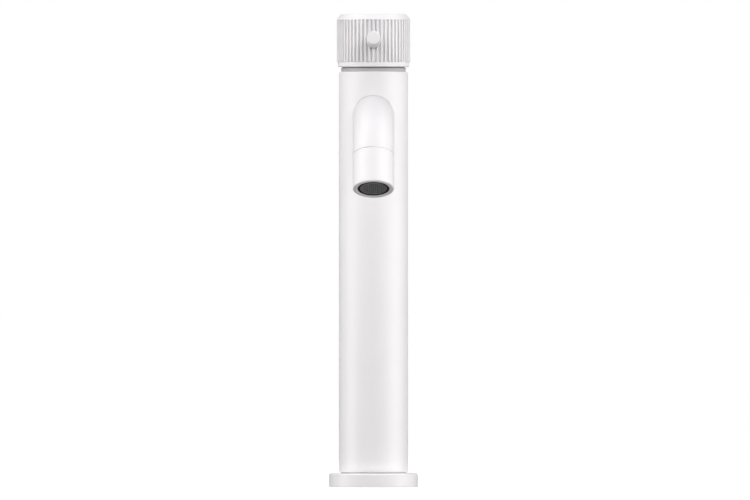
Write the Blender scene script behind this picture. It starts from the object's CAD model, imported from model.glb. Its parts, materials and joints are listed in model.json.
import json
from math import atan2, cos, hypot, pi, radians, sin, sqrt, tan

import bmesh
import bpy
from mathutils import Matrix, Vector


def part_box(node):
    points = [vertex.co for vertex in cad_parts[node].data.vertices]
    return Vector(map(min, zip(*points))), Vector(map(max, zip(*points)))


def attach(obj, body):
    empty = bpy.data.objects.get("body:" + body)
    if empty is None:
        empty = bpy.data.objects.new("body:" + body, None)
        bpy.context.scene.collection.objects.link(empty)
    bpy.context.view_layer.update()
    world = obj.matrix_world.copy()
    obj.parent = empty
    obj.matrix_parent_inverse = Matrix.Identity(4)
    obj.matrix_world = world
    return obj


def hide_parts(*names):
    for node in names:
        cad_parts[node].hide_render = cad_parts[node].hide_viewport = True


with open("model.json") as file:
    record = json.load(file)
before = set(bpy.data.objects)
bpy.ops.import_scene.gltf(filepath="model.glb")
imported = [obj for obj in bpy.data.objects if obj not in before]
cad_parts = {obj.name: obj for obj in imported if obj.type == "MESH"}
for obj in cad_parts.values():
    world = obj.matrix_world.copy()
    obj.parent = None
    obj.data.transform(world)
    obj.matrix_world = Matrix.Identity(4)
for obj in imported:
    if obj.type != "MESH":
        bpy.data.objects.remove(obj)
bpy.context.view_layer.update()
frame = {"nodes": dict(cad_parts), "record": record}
NODES = frame["nodes"]
REPLACED = set()

# A tall basin mixer tap in white powder coat, on a white stage. Every length is in metres.
# The visible skins are rebuilt here as fine meshes with rolled edges, flutes and threads. They take
# their places from the CAD nodes they stand for. The hidden pieces keep their CAD shapes.

MM = 0.001
ROUND_STEPS = 6          # segments in each rolled edge
TURN_STEPS = 192         # segments round a turned piece
FINE_STEPS = 256         # the same, for the widest pieces
SHARP_ANGLE = radians(38)
TINY = 1e-9

# ---------------------------------------------------------------- places, from the CAD frame
FLANGE_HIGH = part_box("base_flange")[1]
COLUMN_LOW, COLUMN_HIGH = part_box("body_column")
GRIP_LOW, GRIP_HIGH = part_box("handle_grip")
CORE_LOW, CORE_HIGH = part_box("handle_core")
NECK_LOW, NECK_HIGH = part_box("neck_ring")
SPOUT_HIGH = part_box("spout_tube")[1]
FOOT_LOW, FOOT_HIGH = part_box("base_foot")
FLANGE_R = FLANGE_HIGH.x
COLUMN_R = COLUMN_HIGH.x
COLUMN_BORE_R = FOOT_HIGH.x
SPOUT_R = SPOUT_HIGH.x
SPOUT_Z = SPOUT_HIGH.z - SPOUT_R
GRIP_R = GRIP_HIGH.x

# the base flange and the seal's bed in its underside
FLANGE_BORE_R = 18.2 * MM
BED_IN_R = 22.0 * MM
BED_OUT_R = 25.0 * MM
BED_HEIGHT = 1.9 * MM

# the column
SHADOW_GAP = 0.5 * MM
SHADOW_GAP_R = 19.6 * MM
SPIGOT_R = 10.0 * MM
SPOUT_GAP = 0.6 * MM     # the groove in the column, above and below the spout
SPOUT_GAP_DEPTH = 2.6 * MM

# the ring under the handle
NECK_BORE_R = 16.0 * MM
NECK_SPIGOT_R = 18.0 * MM
NECK_BAND_TOP = 254.7 * MM
UNDERCUT_R = 18.9 * MM
UNDERCUT_TOP = 256.0 * MM
GUIDE_LAND_R = 17.5 * MM
GUIDE_GROOVE_R = 16.7 * MM
GUIDE_LAND = 1.0 * MM

# the spout's bend and the nozzle at its end
NOZZLE_TILT = radians(25)
BEND_R = 41.4 * MM
REACH = 130.0 * MM
SPOUT_STEPS = 160        # segments round the spout
BEND_ROWS = 44           # segments along its bend
SPOUT_BORE_R = 9.5 * MM
SPIGOT_BORE_R = 7.5 * MM
SPIGOT_END = 13.2 * MM
SEAM_CHAMFER = 0.42 * MM
NIPPLE_R = 10.95 * MM
NIPPLE_LENGTH = 6.9 * MM
NIPPLE_GROOVE = 1.0 * MM
NOZZLE_LENGTH = 22.6 * MM
NOZZLE_BORE_R = 11.0 * MM
NOZZLE_PITCH = 1.0 * MM
NOZZLE_THREAD = 0.35 * MM
NOZZLE_FACE = NOZZLE_LENGTH - 0.5 * MM
MOUTH_R = 9.6 * MM
BEND_ANGLE = pi / 2 - NOZZLE_TILT
BEND_Y = REACH - BEND_R * sin(BEND_ANGLE) - NOZZLE_LENGTH * sin(NOZZLE_TILT)
SEAM = Vector((0, -BEND_Y - BEND_R * sin(BEND_ANGLE), SPOUT_Z - BEND_R * (1 - cos(BEND_ANGLE))))

# the aerator's cup and screen
CUP_R = 10.5 * MM
CUP_BORE_R = 6.5 * MM
CUP_BACK = 8.0 * MM
CUP_FLOOR = 12.0 * MM
CUP_GROOVE_R = 9.4 * MM
CUP_GROOVE_DEPTH = 1.2 * MM
SCREEN_R = 8.2 * MM
SCREEN_PITCH = 1.2 * MM
SCREEN_HOLE = 0.42 * MM
SCREEN_RIM = 0.4 * MM
SCREEN_RIM_WIDTH = 1.3 * MM

# the fluted grip
FLUTES = 55
FLUTE_R = 0.70 * MM
FLUTE_DEPTH = 1.3 * MM
FLUTE_TOP = 283.9 * MM
FLUTE_STEPS = 24         # segments across each flute and ridge
RIDGE_ROLL = 0.18 * MM   # the coat rounds each ridge's edges
GRIP_SHOULDER = GRIP_HIGH.z - 3.4 * MM
GRIP_TOP_R = 19.85 * MM
GRIP_BORE_R = 20.6 * MM
GRIP_FOOT_ROLL = 0.45 * MM
GRIP_TOP_ROLL = 0.6 * MM

# the pin lever
PIN_Z = 271.1 * MM
PIN_TILT = radians(3.5)
PIN_ROOT_R = 4.4 * MM
PIN_TIP_R = 4.08 * MM
PIN_REACH = 26.0 * MM
PIN_SEAT = 19.4 * MM
PIN_STUD_R = 3.0 * MM
PIN_STUD_LENGTH = 8.0 * MM
PIN_STUD_CHAMFER = 0.5 * MM
PIN_EDGE = 0.6 * MM

# the inlet block's tapped holes, tube sockets and passages
INLET_X = 8.5 * MM
INLET_R = 4.5 * MM
STUD_Y = 12.0 * MM
STUD_R = 2.5 * MM
TAP_DEPTH = 12 * MM
TAP_PITCH = 1.0 * MM
TAP_MOUTH = 0.6 * MM
SOCKET_R = 5.02 * MM
PASSAGE_R = 3.5 * MM

# light and camera
ROOM_LIGHT = 0.0
FLOOR_GLOW = 1.0
FLOOR_HALF = 30.0
FLOOR_DROP = 0.2 * MM
AIM_HEIGHT = 0.16
LIGHT_DISTANCE = 1.2
CAMERA_DISTANCE = 12.0
CAMERA_HEIGHT = 0.1440
FRAME_OFFSET = 0.94 * MM
LENS_MM = 947.4
# name, azimuth and elevation in degrees, width, height of the panel, watts, shows in reflections
SOFTBOXES = [
    ("left_low", -80, -10, 0.59, 0.42, 4.9, True),
    ("left_middle", -60, 10, 0.59, 0.42, 2.1, True),
    ("left_side_high", -90, 30, 0.52, 0.42, 1.1, True),
    ("left_high", -60, 30, 0.52, 0.42, 3.5, True),
    ("left_top", -90, 52, 0.37, 0.42, 3.3, True),
    ("left_over", -90, 76, 0.50, 0.50, 1.1, True),
    ("front_left_high", -30, 30, 0.52, 0.42, 2.3, True),
    ("front_low", 0, -30, 0.52, 0.42, 3.2, True),
    ("front_right_high", 30, 30, 0.52, 0.42, 4.1, True),
    ("right_low", 60, -10, 0.59, 0.42, 3.0, True),
    ("right_high", 60, 30, 0.52, 0.42, 4.0, True),
    ("right_top", 90, 52, 0.37, 0.42, 3.1, True),
    ("right_side_low", 82, -10, 0.59, 0.42, 4.5, True),
    ("rear_fill", 180, 15, 1.20, 0.90, 6.0, False),
]


# ---------------------------------------------------------------- materials
class Shader:
    """A node material built step by step: each call adds one node and returns it."""

    def __init__(self, name):
        self.material = bpy.data.materials.new(name)
        self.material.use_nodes = True
        self.tree = self.material.node_tree
        self.tree.nodes.clear()
        self.surface = self.add("ShaderNodeBsdfPrincipled")
        output = self.add("ShaderNodeOutputMaterial")
        self.link(self.surface, "BSDF", output, "Surface")
        self.place = self.add("ShaderNodeTexCoord")
        self.bump = None

    def add(self, kind, **settings):
        node = self.tree.nodes.new(kind)
        for key, value in settings.items():
            if key in node.inputs:
                node.inputs[key].default_value = value
            else:
                setattr(node, key, value)
        return node

    def link(self, source, out, target, into):
        self.tree.links.new(source.outputs[out], target.inputs[into])

    def noise(self, scale, detail=3.0, stretch=(1, 1, 1), **settings):
        """Noise in the object's own space, stretched along an axis where asked."""
        mapping = self.add("ShaderNodeMapping")
        mapping.inputs["Scale"].default_value = stretch
        self.link(self.place, "Object", mapping, "Vector")
        noise = self.add("ShaderNodeTexNoise", Scale=scale, Detail=detail, **settings)
        self.link(mapping, "Vector", noise, "Vector")
        return noise

    def ramp(self, source, stops, out="Fac"):
        ramp = self.add("ShaderNodeValToRGB")
        self.link(source, out, ramp, "Fac")
        elements = ramp.color_ramp.elements
        while len(elements) < len(stops):
            elements.new(0.5)
        for element, (position, colour) in zip(elements, stops):
            element.position = position
            element.color = (*colour, 1) if len(colour) == 3 else colour
        return ramp

    def colour(self, source, out="Color"):
        self.link(source, out, self.surface, "Base Color")

    def roughness(self, source, low, high):
        span = self.add("ShaderNodeMapRange")
        span.inputs["To Min"].default_value = low
        span.inputs["To Max"].default_value = high
        self.link(source, "Fac", span, "Value")
        self.link(span, "Result", self.surface, "Roughness")

    def relief(self, source, out, height, strength=1.0):
        """One layer of bump, laid on the layers before it."""
        bump = self.add("ShaderNodeBump", Strength=strength, Distance=height)
        self.link(source, out, bump, "Height")
        if self.bump:
            self.link(self.bump, "Normal", bump, "Normal")
        self.link(bump, "Normal", self.surface, "Normal")
        self.bump = bump


def white_coat():
    """Satin powder coat: a faint orange peel, finer grains of powder, and barely uneven gloss."""
    s = Shader("white_powder_coat")
    s.surface.inputs["IOR"].default_value = 1.5
    peel = s.noise(1400, detail=2.0)
    grain = s.noise(5200, detail=1.0)
    cloud = s.noise(38, detail=4.0)
    s.colour(s.ramp(cloud, [(0.3, (0.782, 0.765, 0.776)), (0.7, (0.802, 0.785, 0.796))]))
    s.roughness(cloud, 0.42, 0.50)
    s.relief(peel, "Fac", 0.012 * MM, 0.5)
    s.relief(grain, "Fac", 0.004 * MM, 0.5)
    return s.material


def brass_metal():
    """Machined brass: fine turning lines, darker where it has dulled."""
    s = Shader("machined_brass")
    s.surface.inputs["Metallic"].default_value = 1.0
    dull = s.noise(90, detail=5.0)
    lines = s.noise(500, detail=2.0, stretch=(0.4, 0.4, 12))
    s.colour(s.ramp(dull, [(0.3, (0.62, 0.45, 0.19)), (0.65, (0.80, 0.63, 0.31))]))
    s.roughness(lines, 0.22, 0.42)
    s.relief(lines, "Fac", 0.02 * MM, 0.35)
    return s.material


def copper_metal():
    s = Shader("drawn_copper")
    s.surface.inputs["Metallic"].default_value = 1.0
    dull = s.noise(60, detail=5.0)
    drawn = s.noise(900, detail=2.0, stretch=(6, 6, 0.3))
    s.colour(s.ramp(dull, [(0.3, (0.60, 0.28, 0.17)), (0.7, (0.82, 0.45, 0.30))]))
    s.roughness(drawn, 0.25, 0.45)
    s.relief(drawn, "Fac", 0.02 * MM, 0.3)
    return s.material


def steel_metal():
    s = Shader("stainless_steel")
    s.surface.inputs["Metallic"].default_value = 1.0
    brushed = s.noise(1100, detail=3.0, stretch=(1, 9, 1))
    s.colour(s.ramp(brushed, [(0.3, (0.50, 0.50, 0.51)), (0.7, (0.66, 0.66, 0.67))]))
    s.roughness(brushed, 0.24, 0.40)
    s.relief(brushed, "Fac", 0.01 * MM, 0.4)
    return s.material


def black_rubber():
    s = Shader("black_rubber")
    bloom = s.noise(120, detail=5.0)
    pores = s.noise(2600, detail=3.0)
    s.colour(s.ramp(bloom, [(0.35, (0.018, 0.018, 0.019)), (0.75, (0.045, 0.045, 0.046))]))
    s.roughness(bloom, 0.62, 0.8)
    s.relief(pores, "Fac", 0.03 * MM, 0.5)
    return s.material


def moulded_plastic(name, low, high, rough_low, rough_high):
    """Moulded plastic with the fine spark texture of its tool."""
    s = Shader(name)
    s.surface.inputs["IOR"].default_value = 1.46
    tint = s.noise(70, detail=4.0)
    spark = s.noise(3200, detail=2.0)
    s.colour(s.ramp(tint, [(0.3, low), (0.7, high)]))
    s.roughness(spark, rough_low, rough_high)
    s.relief(spark, "Fac", 0.012 * MM, 0.5)
    return s.material


def ceramic_disc():
    s = Shader("lapped_ceramic")
    s.surface.inputs["IOR"].default_value = 1.75
    speck = s.noise(1800, detail=4.0)
    lapped = s.noise(300, detail=2.0)
    s.colour(s.ramp(speck, [(0.3, (0.80, 0.79, 0.75)), (0.7, (0.90, 0.89, 0.86))]))
    s.roughness(lapped, 0.12, 0.24)
    s.relief(speck, "Fac", 0.004 * MM, 0.4)
    return s.material


MATERIALS = {
    "white_coat": white_coat(),
    "brass": brass_metal(),
    "copper": copper_metal(),
    "steel": steel_metal(),
    "black_rubber": black_rubber(),
    "ceramic": ceramic_disc(),
}
for slot, low, high, rough_low, rough_high in (
    ("white_acetal", (0.70, 0.70, 0.67), (0.78, 0.78, 0.75), 0.42, 0.55),
    ("grey_plastic", (0.150, 0.150, 0.152), (0.185, 0.185, 0.187), 0.5, 0.65),
    ("black_plastic", (0.010, 0.010, 0.011), (0.018, 0.018, 0.019), 0.45, 0.6),
    ("pale_grey_plastic", (0.405, 0.396, 0.400), (0.455, 0.446, 0.450), 0.4, 0.5),
):
    MATERIALS[slot] = moulded_plastic(slot, low, high, rough_low, rough_high)


# ---------------------------------------------------------------- mesh helpers
def arc(centre, radius, start, end, steps=ROUND_STEPS):
    """Points on an arc in the (radius, height) plane, angles in radians."""
    turn = (end - start) / steps
    return [
        (centre[0] + radius * cos(start + turn * i), centre[1] + radius * sin(start + turn * i))
        for i in range(steps + 1)
    ]


def rolled(corners, steps=ROUND_STEPS):
    """An outline from (radius, height, rounding) corners, each rounded corner rolled to an arc."""
    outline = []
    count = len(corners)
    for i, (r, z, rounding) in enumerate(corners):
        here = Vector((r, z))
        if rounding <= 0:
            outline.append((r, z))
            continue
        before = Vector(corners[i - 1][:2]) - here
        after = Vector(corners[(i + 1) % count][:2]) - here
        before.normalize()
        after.normalize()
        half = before.angle(after) / 2
        centre = here + (before + after).normalized() * (rounding / sin(half))
        first = here + before * (rounding / tan(half)) - centre
        last = here + after * (rounding / tan(half)) - centre
        start = atan2(first.y, first.x)
        sweep = (atan2(last.y, last.x) - start + pi) % (2 * pi) - pi
        outline += arc(centre, rounding, start, start + sweep, steps)
    return outline


def evenly_shaded(piece):
    """Weights the piece's normals by its faces, so flats beside rolled edges stay flat."""
    weighted = piece.modifiers.new("even_shading", "WEIGHTED_NORMAL")
    weighted.keep_sharp = True
    return piece


def mesh_piece(name, verts, faces):
    """A smooth-shaded object whose sharp edges stay crisp."""
    mesh = bpy.data.meshes.new(name)
    mesh.from_pydata([tuple(v) for v in verts], [], faces)
    mesh.validate()
    mesh.polygons.foreach_set("use_smooth", [True] * len(mesh.polygons))
    mesh.set_sharp_from_angle(angle=SHARP_ANGLE)
    mesh.update()
    piece = bpy.data.objects.new(name, mesh)
    bpy.context.scene.collection.objects.link(piece)
    return evenly_shaded(piece)


def turned_mesh(outline, steps=TURN_STEPS, place=None, wave=None):
    """Vertices and faces of an outline turned about Z. Outline points at radius 0 become poles.

    wave, if given, moves each point: it takes (radius, height, angle) and returns (radius, height).
    """
    verts, rows = [], []
    for r, z in outline:
        if r < TINY:
            rows.append([len(verts)])
            verts.append(Vector((0, 0, z)))
            continue
        rows.append(list(range(len(verts), len(verts) + steps)))
        for i in range(steps):
            angle = 2 * pi * i / steps
            at_r, at_z = wave(r, z, angle) if wave else (r, z)
            verts.append(Vector((at_r * cos(angle), at_r * sin(angle), at_z)))
    faces = []
    closed = not (len(rows[0]) == 1 and len(rows[-1]) == 1)
    pairs = list(zip(rows, rows[1:])) + ([(rows[-1], rows[0])] if closed else [])
    for low, high in pairs:
        for i in range(steps):
            j = (i + 1) % steps
            if len(low) == 1 and len(high) == 1:
                continue
            if len(low) == 1:
                faces.append((low[0], high[j], high[i]))
            elif len(high) == 1:
                faces.append((low[i], low[j], high[0]))
            else:
                faces.append((low[i], low[j], high[j], high[i]))
    if place:
        verts = [place @ v for v in verts]
    return verts, faces


def plug(radius, start, end, steps, place=None):
    """A closed cylinder along Z, to bore a hole with."""
    return turned_mesh([(0, start), (radius, start), (radius, end), (0, end)], steps, place)


def moved(mesh, x, y):
    """The same (vertices, faces), moved sideways."""
    verts, faces = mesh
    return [v + Vector((x, y, 0)) for v in verts], faces


def joined(*meshes):
    """Several (vertices, faces) as one."""
    verts, faces = [], []
    for more_verts, more_faces in meshes:
        base = len(verts)
        verts += more_verts
        faces += [tuple(i + base for i in face) for face in more_faces]
    return verts, faces


def outward(piece):
    """Turns every face of a closed piece outwards."""
    work = bmesh.new()
    work.from_mesh(piece.data)
    bmesh.ops.recalc_face_normals(work, faces=work.faces)
    work.to_mesh(piece.data)
    work.free()
    return piece


def ringed_mesh(rings):
    """Vertices and faces of a closed skin over rings of equal length, the last joined to the first."""
    steps = len(rings[0])
    verts = [v for ring in rings for v in ring]
    faces = []
    for k in range(len(rings)):
        low, high = k * steps, ((k + 1) % len(rings)) * steps
        for i in range(steps):
            j = (i + 1) % steps
            faces.append((low + i, low + j, high + j, high + i))
    return verts, faces


def bored(piece, cutter_mesh):
    """Cuts a closed mesh out of the piece, before its shading is evened."""
    cutter = outward(mesh_piece("cutter", *cutter_mesh))
    cutter.modifiers.clear()
    piece.modifiers.clear()
    outward(piece)
    cut = piece.modifiers.new("bore", "BOOLEAN")
    cut.operation, cut.solver, cut.object = "DIFFERENCE", "EXACT", cutter
    bpy.context.view_layer.update()
    evaluated = piece.evaluated_get(bpy.context.evaluated_depsgraph_get())
    mesh = bpy.data.meshes.new_from_object(evaluated)
    piece.modifiers.clear()
    piece.data = mesh
    bpy.data.objects.remove(cutter)
    mesh.polygons.foreach_set("use_smooth", [True] * len(mesh.polygons))
    mesh.set_sharp_from_angle(angle=SHARP_ANGLE)
    return evenly_shaded(piece)


def stands_for(piece, body, slot, *nodes):
    """The piece replaces those CAD nodes, rides on their body and wears the slot's material."""
    outward(piece)
    piece.data.materials.append(MATERIALS[slot])
    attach(piece, body)
    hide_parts(*nodes)
    REPLACED.update(nodes)
    return piece


def nozzle_place():
    """The nozzle's own axes: Z runs from the seam out of the mouth."""
    out = Vector((0, -sin(NOZZLE_TILT), -cos(NOZZLE_TILT)))
    across = Vector((1, 0, 0))
    return Matrix.Translation(SEAM) @ Matrix((across, out.cross(across), out)).transposed().to_4x4()


def pin_place():
    """The pin's own axes: Z runs from the handle's axis out along the pin."""
    out = Vector((0, -cos(PIN_TILT), sin(PIN_TILT)))
    across = Vector((1, 0, 0))
    start = Vector((0, 0, PIN_Z - GRIP_R * tan(PIN_TILT)))
    return Matrix.Translation(start) @ Matrix((across, out.cross(across), out)).transposed().to_4x4()


def thread(pitch, depth, low, high, inside=False):
    """A wave for turned_mesh: a rounded screw thread between two heights, fading in at both ends."""
    side = 1 if inside else -1

    def wave(r, z, angle):
        if not low < z < high:
            return r, z
        fade = min(1.0, (z - low) / pitch, (high - z) / pitch)
        ridge = 0.5 + 0.5 * cos(2 * pi * (z / pitch) - angle)
        return r + side * depth * fade * ridge, z

    return wave


def thread_rows(r, low, high, pitch, per_turn=8):
    """Outline points up a threaded wall."""
    count = max(2, round((high - low) / pitch * per_turn))
    return [(r, low + (high - low) * i / count) for i in range(count + 1)]


# ---------------------------------------------------------------- base and column
def make_base_flange():
    """The flange, with the seal's bed in its underside and a rolled upper edge."""
    height = FLANGE_HIGH.z
    outline = rolled([
        (FLANGE_BORE_R, 0, 0.15 * MM),
        (BED_IN_R, 0, 0.15 * MM),
        (BED_IN_R, BED_HEIGHT, 0),
        (BED_OUT_R, BED_HEIGHT, 0),
        (BED_OUT_R, 0, 0.15 * MM),
        (FLANGE_R, 0, 0.25 * MM),
        (FLANGE_R, height, 1.2 * MM),
        (FLANGE_BORE_R, height, 0.2 * MM),
    ])
    piece = mesh_piece("deck_flange", *turned_mesh(outline, FINE_STEPS))
    return stands_for(piece, "tap_body", "white_coat", "base_flange")


def make_deck_seal():
    """The seal fills its bed with a little room, and has two shallow grooves in its lower face."""
    room = 0.02 * MM
    inside, outside = BED_IN_R + room, BED_OUT_R - room
    foot, top = 0.05 * MM, BED_HEIGHT - room
    outline = [(inside, foot, 0.2 * MM)]
    for groove in (23.05 * MM, 23.95 * MM):
        outline += [
            (groove - 0.25 * MM, foot, 0.15 * MM),
            (groove, foot + 0.4 * MM, 0.1 * MM),
            (groove + 0.25 * MM, foot, 0.15 * MM),
        ]
    outline += [(outside, foot, 0.2 * MM), (outside, top, 0.1 * MM), (inside, top, 0.1 * MM)]
    piece = mesh_piece("deck_seal_ring", *turned_mesh(rolled(outline, 4)))
    return stands_for(piece, "tap_body", "black_rubber", "deck_seal")


def make_body_column():
    """The column tube: a shadow gap at its foot, a rolled top edge, and the spout's hole and groove."""
    low, high = COLUMN_LOW.z, COLUMN_HIGH.z
    outline = rolled([
        (COLUMN_BORE_R, low, 0.2 * MM),
        (SHADOW_GAP_R, low, 0),
        (SHADOW_GAP_R, low + SHADOW_GAP, 0.05 * MM),
        (COLUMN_R, low + SHADOW_GAP, 0.15 * MM),
        (COLUMN_R, high, 1.1 * MM),
        (COLUMN_BORE_R, high, 0.2 * MM),
    ])
    piece = mesh_piece("column", *turned_mesh(outline, FINE_STEPS))
    front = Matrix.Translation((0, 0, SPOUT_Z)) @ Matrix.Rotation(pi / 2, 4, "X")
    clear = 30 * MM
    bored(piece, plug(SPIGOT_R, 10 * MM, clear, 96, front))
    inner, outer, deep = SPOUT_R - 0.05 * MM, SPOUT_R + SPOUT_GAP, COLUMN_R - SPOUT_GAP_DEPTH
    groove = [(inner, deep), (outer, deep), (outer, clear), (inner, clear)]
    bored(piece, turned_mesh(groove, 128, front))
    return stands_for(piece, "tap_body", "white_coat", "body_column")


def make_neck_ring():
    """The grey ring under the handle: a plain band, an undercut above it, and a grooved guide inside."""
    high = NECK_HIGH.z
    outline = rolled([
        (NECK_BORE_R, NECK_LOW.z, 0),
        (NECK_SPIGOT_R, NECK_LOW.z, 0),
        (NECK_SPIGOT_R, COLUMN_HIGH.z, 0),
        (NECK_HIGH.x, COLUMN_HIGH.z, 0.1 * MM),
        (NECK_HIGH.x, NECK_BAND_TOP, 0.15 * MM),
        (UNDERCUT_R, NECK_BAND_TOP, 0.1 * MM),
        (UNDERCUT_R, UNDERCUT_TOP, 0.1 * MM),
        (GUIDE_LAND_R, UNDERCUT_TOP, 0),
        (GUIDE_LAND_R, UNDERCUT_TOP + GUIDE_LAND, 0),
        (GUIDE_GROOVE_R, UNDERCUT_TOP + GUIDE_LAND, 0),
        (GUIDE_GROOVE_R, high - GUIDE_LAND, 0),
        (GUIDE_LAND_R, high - GUIDE_LAND, 0),
        (GUIDE_LAND_R, high, 0.2 * MM),
        (NECK_BORE_R, high, 0.2 * MM),
    ], 4)
    piece = mesh_piece("neck_trim_ring", *turned_mesh(outline, FINE_STEPS))
    return stands_for(piece, "tap_body", "pale_grey_plastic", "neck_ring")


# ---------------------------------------------------------------- spout and nozzle
def spout_centre(distance):
    """(point, direction) on the spout's centre line, measured from the column's axis."""
    if distance <= BEND_Y:
        return Vector((0, -distance, SPOUT_Z)), Vector((0, -1, 0))
    turn = min((distance - BEND_Y) / BEND_R, BEND_ANGLE)
    point = Vector((0, -BEND_Y - BEND_R * sin(turn), SPOUT_Z - BEND_R * (1 - cos(turn))))
    return point, Vector((0, -cos(turn), -sin(turn)))


def spout_ring(radius, distance):
    """A ring of points round the spout's centre line, clockwise from the right as seen from the front."""
    point, ahead = spout_centre(distance)
    across = Vector((1, 0, 0))
    up = across.cross(ahead)
    turn = 2 * pi / SPOUT_STEPS
    return [point + radius * (across * cos(turn * i) + up * sin(turn * i)) for i in range(SPOUT_STEPS)]


def coped_ring(radius):
    """A ring of points on the column's side, anticlockwise from the right as seen from the front.

    Known fault: spout_ring runs the other way round, so the skin between the two crosses itself.
    """
    ring = []
    for i in range(SPOUT_STEPS):
        x = radius * cos(2 * pi * i / SPOUT_STEPS)
        z = SPOUT_Z + radius * sin(2 * pi * i / SPOUT_STEPS)
        ring.append(Vector((x, -sqrt(COLUMN_R ** 2 - x ** 2), z)))
    return ring


def nipple_rings():
    """The spout's end at the seam: its chamfer, the seal's groove, the nipple's thread, and the bore."""
    seal_low, seal_high, thread_low = 1.0 * MM, 2.2 * MM, 2.5 * MM
    thread_high = NIPPLE_LENGTH - 0.2 * MM
    outline = [
        (SPOUT_R, -SEAM_CHAMFER),
        (SPOUT_R - 0.1 * MM, -0.22 * MM),
        (SPOUT_R - SEAM_CHAMFER, 0),
        (NIPPLE_R, 0),
        (NIPPLE_R, seal_low),
        (NIPPLE_R - NIPPLE_GROOVE, seal_low),
        (NIPPLE_R - NIPPLE_GROOVE, seal_high),
        (NIPPLE_R, seal_high),
        *thread_rows(NIPPLE_R, thread_low, thread_high, NOZZLE_PITCH),
        (NIPPLE_R - 0.3 * MM, NIPPLE_LENGTH),
        (SPOUT_BORE_R, NIPPLE_LENGTH),
        (SPOUT_BORE_R, 0),
    ]
    screw = thread(NOZZLE_PITCH, NOZZLE_THREAD, thread_low, thread_high)
    place = nozzle_place()
    rings = []
    for r, z in outline:
        ring = []
        for i in range(SPOUT_STEPS):
            angle = 2 * pi * i / SPOUT_STEPS
            at_r, at_z = screw(r, z, angle) if abs(r - NIPPLE_R) < TINY else (r, z)
            ring.append(place @ Vector((at_r * cos(angle), -at_r * sin(angle), at_z)))
        rings.append(ring)
    return rings


def make_spout():
    """The spout: its spigot, its root on the column's side, the bent tube, and the threaded nipple."""
    spigot_r, bore_start = SPIGOT_R - 0.02 * MM, COLUMN_R + 3 * MM
    straight_start, straight_rows = COLUMN_R + 2 * MM, 4
    rings = [
        spout_ring(SPIGOT_BORE_R, SPIGOT_END),
        spout_ring(spigot_r, SPIGOT_END),
        spout_ring(spigot_r, COLUMN_R - 1.0 * MM),
        coped_ring(SPOUT_R),
    ]
    for i in range(1, straight_rows + 1):
        rings.append(spout_ring(SPOUT_R, straight_start + (BEND_Y - straight_start) * i / straight_rows))
    for i in range(1, BEND_ROWS):
        rings.append(spout_ring(SPOUT_R, BEND_Y + BEND_R * BEND_ANGLE * i / BEND_ROWS))
    rings += nipple_rings()
    for i in range(BEND_ROWS, -1, -4):
        rings.append(spout_ring(SPOUT_BORE_R, BEND_Y + BEND_R * BEND_ANGLE * i / BEND_ROWS))
    rings += [spout_ring(SPOUT_BORE_R, bore_start), spout_ring(SPIGOT_BORE_R, bore_start)]
    piece = mesh_piece("spout", *ringed_mesh(rings))
    return stands_for(piece, "tap_body", "white_coat", "spout_tube")


def make_nozzle_sleeve():
    """The outlet sleeve: chamfered seam, inner thread, and a two-step rim round the mouth."""
    cup_room_r = CUP_R + 0.1 * MM
    outline = rolled([
        (NOZZLE_BORE_R, 0, 0.1 * MM),
        (SPOUT_R - SEAM_CHAMFER, 0, 0.05 * MM),
        (SPOUT_R, SEAM_CHAMFER, 0.1 * MM),
        (SPOUT_R, NOZZLE_LENGTH, 1.0 * MM),
        (MOUTH_R + 0.9 * MM, NOZZLE_LENGTH, 0.2 * MM),
        (MOUTH_R, NOZZLE_LENGTH - 0.4 * MM, 0.1 * MM),
        (MOUTH_R, NOZZLE_FACE, 0.05 * MM),
        (cup_room_r, NOZZLE_FACE, 0),
        (cup_room_r, CUP_BACK, 0),
        (NOZZLE_BORE_R, CUP_BACK, 0),
    ])
    outline = outline[:-1] + thread_rows(NOZZLE_BORE_R, CUP_BACK, 0.6 * MM, NOZZLE_PITCH)
    screw = thread(NOZZLE_PITCH, NOZZLE_THREAD, 0.6 * MM, CUP_BACK, inside=True)

    def wave(r, z, angle):
        return screw(r, z, angle) if abs(r - NOZZLE_BORE_R) < TINY else (r, z)

    piece = mesh_piece("nozzle", *turned_mesh(outline, 224, nozzle_place(), wave))
    return stands_for(piece, "nozzle", "white_coat", "nozzle_sleeve")


# ---------------------------------------------------------------- handle
def flute(r, z, angle):
    """The grip's radius with its flutes cut: straight sides, a round bottom, and rolled ridges."""
    pitch = 2 * pi / FLUTES
    from_groove = (angle + pi / 2) % pitch - pitch / 2
    across = abs(GRIP_R * sin(from_groove))
    if z >= FLUTE_TOP or r < GRIP_R - FLUTE_DEPTH or across >= FLUTE_R + RIDGE_ROLL:
        return r, z
    if across >= FLUTE_R:
        inside = FLUTE_R + RIDGE_ROLL - across
        return r - RIDGE_ROLL + sqrt(RIDGE_ROLL ** 2 - inside ** 2), z
    bottom = GRIP_R - FLUTE_DEPTH + FLUTE_R - sqrt(FLUTE_R ** 2 - across ** 2)
    return min(r, bottom), z


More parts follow.
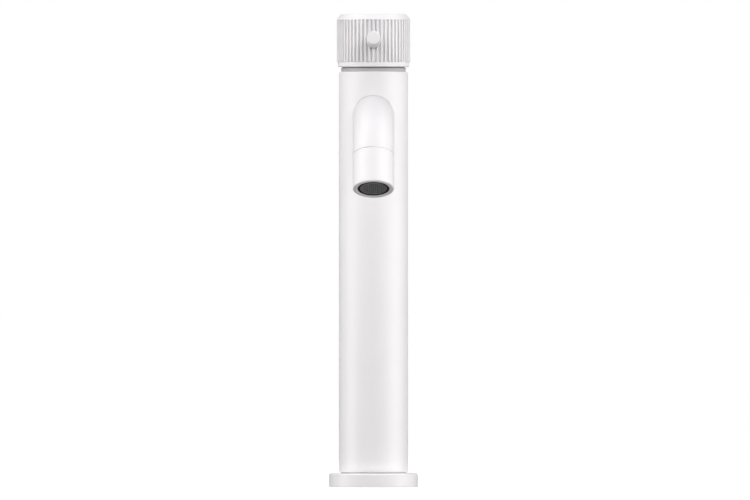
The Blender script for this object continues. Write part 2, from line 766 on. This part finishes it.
def make_handle_grip():
    """The fluted cup. Its flutes end square, just below the bevel."""
    low, shoulder, top = GRIP_LOW.z, GRIP_SHOULDER, GRIP_HIGH.z
    outline = rolled([
        (GRIP_BORE_R, low, 0),
        (GRIP_R, low, GRIP_FOOT_ROLL),
        (GRIP_R, FLUTE_TOP - 0.02 * MM, 0),
        (GRIP_R, FLUTE_TOP, 0),
        (GRIP_R, shoulder, 0.09 * MM),
        (GRIP_TOP_R, top, GRIP_TOP_ROLL),
        *((GRIP_TOP_R * part, top, 0) for part in (0.9, 0.6, 0.3)),
        (0, top, 0),
        (0, shoulder, 0),
        (GRIP_BORE_R, shoulder, 0),
    ])
    piece = mesh_piece("fluted_grip", *turned_mesh(outline, FLUTES * FLUTE_STEPS, wave=flute))
    inside, clear = 10 * MM, 30 * MM
    bored(piece, plug(PIN_ROOT_R + 0.1 * MM, inside, clear, 96, pin_place()))
    cap_low, cap_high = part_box("grub_screw_plug")
    back = Matrix.Translation((0, 0, (cap_low.z + cap_high.z) / 2)) @ Matrix.Rotation(-pi / 2, 4, "X")
    bored(piece, plug(cap_high.x + 0.05 * MM, inside, clear, 64, back))
    return stands_for(piece, "handle", "white_coat", "handle_grip")


def make_pin_lever():
    """The pin: a slight taper, a rolled end, and a threaded stud inside the handle."""
    tip = GRIP_R / cos(PIN_TILT) + PIN_REACH
    stud_end = PIN_SEAT - PIN_STUD_LENGTH
    shank = rolled([
        (PIN_ROOT_R, PIN_SEAT, 0.1 * MM),
        (PIN_ROOT_R, GRIP_R, 0),
        (PIN_TIP_R, tip, PIN_EDGE),
        (0, tip, 0),
        (0, stud_end, 0),
        (PIN_STUD_R - PIN_STUD_CHAMFER, stud_end, 0),
    ])
    pitch, thread_low = 1.0 * MM, stud_end + PIN_STUD_CHAMFER
    outline = shank + thread_rows(PIN_STUD_R, thread_low, PIN_SEAT, pitch)
    screw = thread(pitch, 0.4 * MM, thread_low, PIN_SEAT - PIN_STUD_CHAMFER)

    def wave(r, z, angle):
        return screw(r, z, angle) if abs(r - PIN_STUD_R) < TINY else (r, z)

    piece = mesh_piece("pin", *turned_mesh(outline, 96, pin_place(), wave))
    return stands_for(piece, "handle", "white_coat", "pin_lever")


# ---------------------------------------------------------------- aerator
def make_aerator_insert():
    """The black cup in the nozzle: a thin lip round the screen, and a deep groove outside it."""
    face, groove_floor = NOZZLE_FACE, NOZZLE_FACE - CUP_GROOVE_DEPTH
    lip_out = SCREEN_R + 0.3 * MM
    outline = rolled([
        (CUP_BORE_R, CUP_BACK, 0.1 * MM),
        (CUP_R, CUP_BACK, 0.3 * MM),
        (CUP_R, face, 0.05 * MM),
        (CUP_GROOVE_R, face, 0.1 * MM),
        (CUP_GROOVE_R, groove_floor, 0.1 * MM),
        (lip_out, groove_floor, 0.1 * MM),
        (lip_out, face, 0.1 * MM),
        (SCREEN_R, face, 0.1 * MM),
        (SCREEN_R, CUP_FLOOR, 0),
        (CUP_BORE_R, CUP_FLOOR, 0),
    ], 4)
    piece = mesh_piece("aerator_cup", *turned_mesh(outline, 160, nozzle_place()))
    return stands_for(piece, "nozzle", "black_plastic", "aerator_insert")


def screen_cell(x, y, low, high):
    """One mesh of the screen: a square frame round a hole with clipped corners, and the hole's walls."""
    half, hole, clip = SCREEN_PITCH / 2, SCREEN_HOLE, SCREEN_HOLE * 0.55
    square = [(-half, -half), (0, -half), (half, -half), (half, 0),
              (half, half), (0, half), (-half, half), (-half, 0)]
    inner = [(-clip, -hole), (clip, -hole), (hole, -clip), (hole, clip),
             (clip, hole), (-clip, hole), (-hole, clip), (-hole, -clip)]
    edge = 0.08 * MM
    levels = [(high, hole + edge), (high - edge, hole), (low + edge, hole), (low, hole + edge)]
    corners = len(square)
    verts = [Vector((x + a, y + b, high)) for a, b in square]
    for z, r in levels:
        verts += [Vector((x + a * r / hole, y + b * r / hole, z)) for a, b in inner]
    verts += [Vector((x + a, y + b, low)) for a, b in square]
    faces = []
    for i in range(corners):
        j = (i + 1) % corners
        for level in range(len(levels) + 1):
            base = corners * level
            faces.append((base + i, base + j, base + corners + j, base + corners + i))
    return verts, faces


def make_aerator_screen():
    """The screen: a fine square lattice inside a plain rim, a little below the cup's lip."""
    low, high = NOZZLE_FACE - 0.7 * MM, NOZZLE_FACE - 0.15 * MM
    lattice_r = SCREEN_R - SCREEN_RIM - SCREEN_PITCH * 0.25
    count = int(SCREEN_R / SCREEN_PITCH) + 1
    cells = [
        screen_cell(column * SCREEN_PITCH, row * SCREEN_PITCH, low, high)
        for column in range(-count, count + 1)
        for row in range(-count, count + 1)
        if hypot(column, row) * SCREEN_PITCH < lattice_r
    ]
    rim_in, rim_out = SCREEN_R - SCREEN_RIM_WIDTH, SCREEN_R - 0.03 * MM
    rim = turned_mesh(rolled([
        (rim_in, low - 0.1 * MM, 0.05 * MM),
        (rim_out, low - 0.1 * MM, 0.05 * MM),
        (rim_out, NOZZLE_FACE - 0.02 * MM, 0.1 * MM),
        (rim_in, high + 0.03 * MM, 0.1 * MM),
    ], 3), 128)
    verts, faces = joined(rim, *cells)
    place = nozzle_place()
    piece = mesh_piece("aerator_mesh", [place @ v for v in verts], faces)
    return stands_for(piece, "nozzle", "grey_plastic", "aerator_screen")


# ---------------------------------------------------------------- base foot
def tapped_hole(r, cut, low):
    """A closed cutter for a blind tapped hole with a countersunk mouth, opening downwards."""
    below, mouth_top, end = low - 1.0 * MM, low + TAP_MOUTH, low + TAP_DEPTH
    outline = [(0, below), (r + TAP_MOUTH + 1.0 * MM, below), (r, mouth_top)]
    outline += thread_rows(r, mouth_top, end, TAP_PITCH)[1:]
    outline += [(0, end + r * 0.5)]
    screw = thread(TAP_PITCH, cut, mouth_top, end, inside=True)

    def wave(at_r, z, angle):
        return screw(at_r, z, angle) if abs(at_r - r) < TINY else (at_r, z)

    return turned_mesh(outline, 48, wave=wave)


def make_base_foot():
    """The brass inlet block. Its two hose ports and two stud holes are tapped."""
    low, high, wide = FOOT_LOW.z, FOOT_HIGH.z, FOOT_HIGH.x
    outline = rolled([(0, low, 0), (wide, low, 0.5 * MM), (wide, high, 0.3 * MM), (0, high, 0)])
    piece = mesh_piece("inlet_block", *turned_mesh(outline, 160))
    for side in (-1, 1):
        bored(piece, moved(tapped_hole(INLET_R, 0.3 * MM, low), side * INLET_X, 0))
        bored(piece, moved(tapped_hole(STUD_R, 0.35 * MM, low), 0, side * STUD_Y))
        bored(piece, moved(plug(SOCKET_R, 20 * MM, 31 * MM, 64), side * INLET_X, 0))
        bored(piece, moved(plug(PASSAGE_R, 10 * MM, 21 * MM, 48), side * INLET_X, 0))
    return stands_for(piece, "tap_body", "brass", "base_foot")


# ---------------------------------------------------------------- the rest keep their CAD shapes
def dress_cad_nodes():
    """Gives every CAD node that still shows its slot's full material."""
    slots = {part["node"]: part["material_slot"] for part in frame["record"]["subparts"]}
    for name, node in NODES.items():
        if name in REPLACED:
            continue
        node.data.materials.clear()
        node.data.materials.append(MATERIALS[slots[name]])


# ---------------------------------------------------------------- stage, light and camera
def make_floor():
    """A wide white floor, clear from below. It shows to the camera only and doesn't light the tap."""
    corners = [(x * FLOOR_HALF, y * FLOOR_HALF, 0) for x, y in ((-1, -1), (1, -1), (1, 1), (-1, 1))]
    mesh = bpy.data.meshes.new("floor")
    mesh.from_pydata(corners, [], [(0, 1, 2, 3)])
    floor = bpy.data.objects.new("floor", mesh)
    bpy.context.scene.collection.objects.link(floor)
    floor.location.z = -FLOOR_DROP
    material = bpy.data.materials.new("white_floor")
    material.use_nodes = True
    tree = material.node_tree
    tree.nodes.clear()
    output = tree.nodes.new("ShaderNodeOutputMaterial")
    matte = tree.nodes.new("ShaderNodeBsdfDiffuse")
    matte.inputs["Color"].default_value = (0.35, 0.35, 0.35, 1)
    glow = tree.nodes.new("ShaderNodeEmission")
    glow.inputs["Strength"].default_value = FLOOR_GLOW
    both = tree.nodes.new("ShaderNodeAddShader")
    seen_from_below = tree.nodes.new("ShaderNodeNewGeometry")
    clear = tree.nodes.new("ShaderNodeBsdfTransparent")
    side = tree.nodes.new("ShaderNodeMixShader")
    tree.links.new(matte.outputs[0], both.inputs[0])
    tree.links.new(glow.outputs[0], both.inputs[1])
    tree.links.new(seen_from_below.outputs["Backfacing"], side.inputs[0])
    tree.links.new(both.outputs[0], side.inputs[1])
    tree.links.new(clear.outputs[0], side.inputs[2])
    tree.links.new(side.outputs[0], output.inputs["Surface"])
    mesh.materials.append(material)
    floor.visible_diffuse = False
    floor.visible_glossy = False
    floor.visible_shadow = False


def make_world():
    """White to the camera and dark to everything else, so only the panels light the tap."""
    world = bpy.data.worlds.new("white_room")
    bpy.context.scene.world = world
    world.use_nodes = True
    tree = world.node_tree
    tree.nodes.clear()
    output = tree.nodes.new("ShaderNodeOutputWorld")
    room = tree.nodes.new("ShaderNodeBackground")
    room.inputs["Color"].default_value = (1, 1, 1, 1)
    room.inputs["Strength"].default_value = ROOM_LIGHT
    paper = tree.nodes.new("ShaderNodeBackground")
    paper.inputs["Color"].default_value = (1, 1, 1, 1)
    paper.inputs["Strength"].default_value = 1.0
    path = tree.nodes.new("ShaderNodeLightPath")
    seen = tree.nodes.new("ShaderNodeMixShader")
    tree.links.new(path.outputs["Is Camera Ray"], seen.inputs[0])
    tree.links.new(room.outputs[0], seen.inputs[1])
    tree.links.new(paper.outputs[0], seen.inputs[2])
    tree.links.new(seen.outputs[0], output.inputs["Surface"])


def softbox(name, azimuth, elevation, width, tall, power, glossy=True):
    """An area light on a sphere round the tap, aimed at it. Azimuth 0 is the front, 90 the right."""
    light = bpy.data.lights.new(name, "AREA")
    light.shape = "RECTANGLE"
    light.size, light.size_y = width, tall
    light.energy = power
    lamp = bpy.data.objects.new(name, light)
    bpy.context.scene.collection.objects.link(lamp)
    turn, rise = radians(azimuth), radians(elevation)
    aside = Vector((cos(rise) * sin(turn), -cos(rise) * cos(turn), sin(rise)))
    lamp.location = Vector((0, 0, AIM_HEIGHT)) + LIGHT_DISTANCE * aside
    lamp.rotation_mode = "QUATERNION"
    lamp.rotation_quaternion = (-aside).to_track_quat("-Z", "Y")
    lamp.visible_glossy = glossy
    lamp.visible_camera = False
    return lamp


def make_lights():
    for lamp in SOFTBOXES:
        softbox(*lamp)


def make_camera():
    """A long lens, level with the middle of the tap, straight in front of it."""
    camera = bpy.data.cameras.new("camera")
    camera.sensor_width = 36.0
    camera.lens = LENS_MM
    camera.clip_start, camera.clip_end = 0.5, 60.0
    eye = bpy.data.objects.new("camera", camera)
    bpy.context.scene.collection.objects.link(eye)
    eye.location = (FRAME_OFFSET, -CAMERA_DISTANCE, CAMERA_HEIGHT)
    eye.rotation_euler = (radians(90), 0, 0)
    bpy.context.scene.camera = eye


make_base_flange()
make_deck_seal()
make_base_foot()
make_body_column()
make_neck_ring()
make_spout()
make_nozzle_sleeve()
make_aerator_insert()
make_aerator_screen()
make_handle_grip()
make_pin_lever()
dress_cad_nodes()
make_floor()
make_world()
make_lights()
make_camera()
bpy.context.scene.view_settings.view_transform = "Standard"
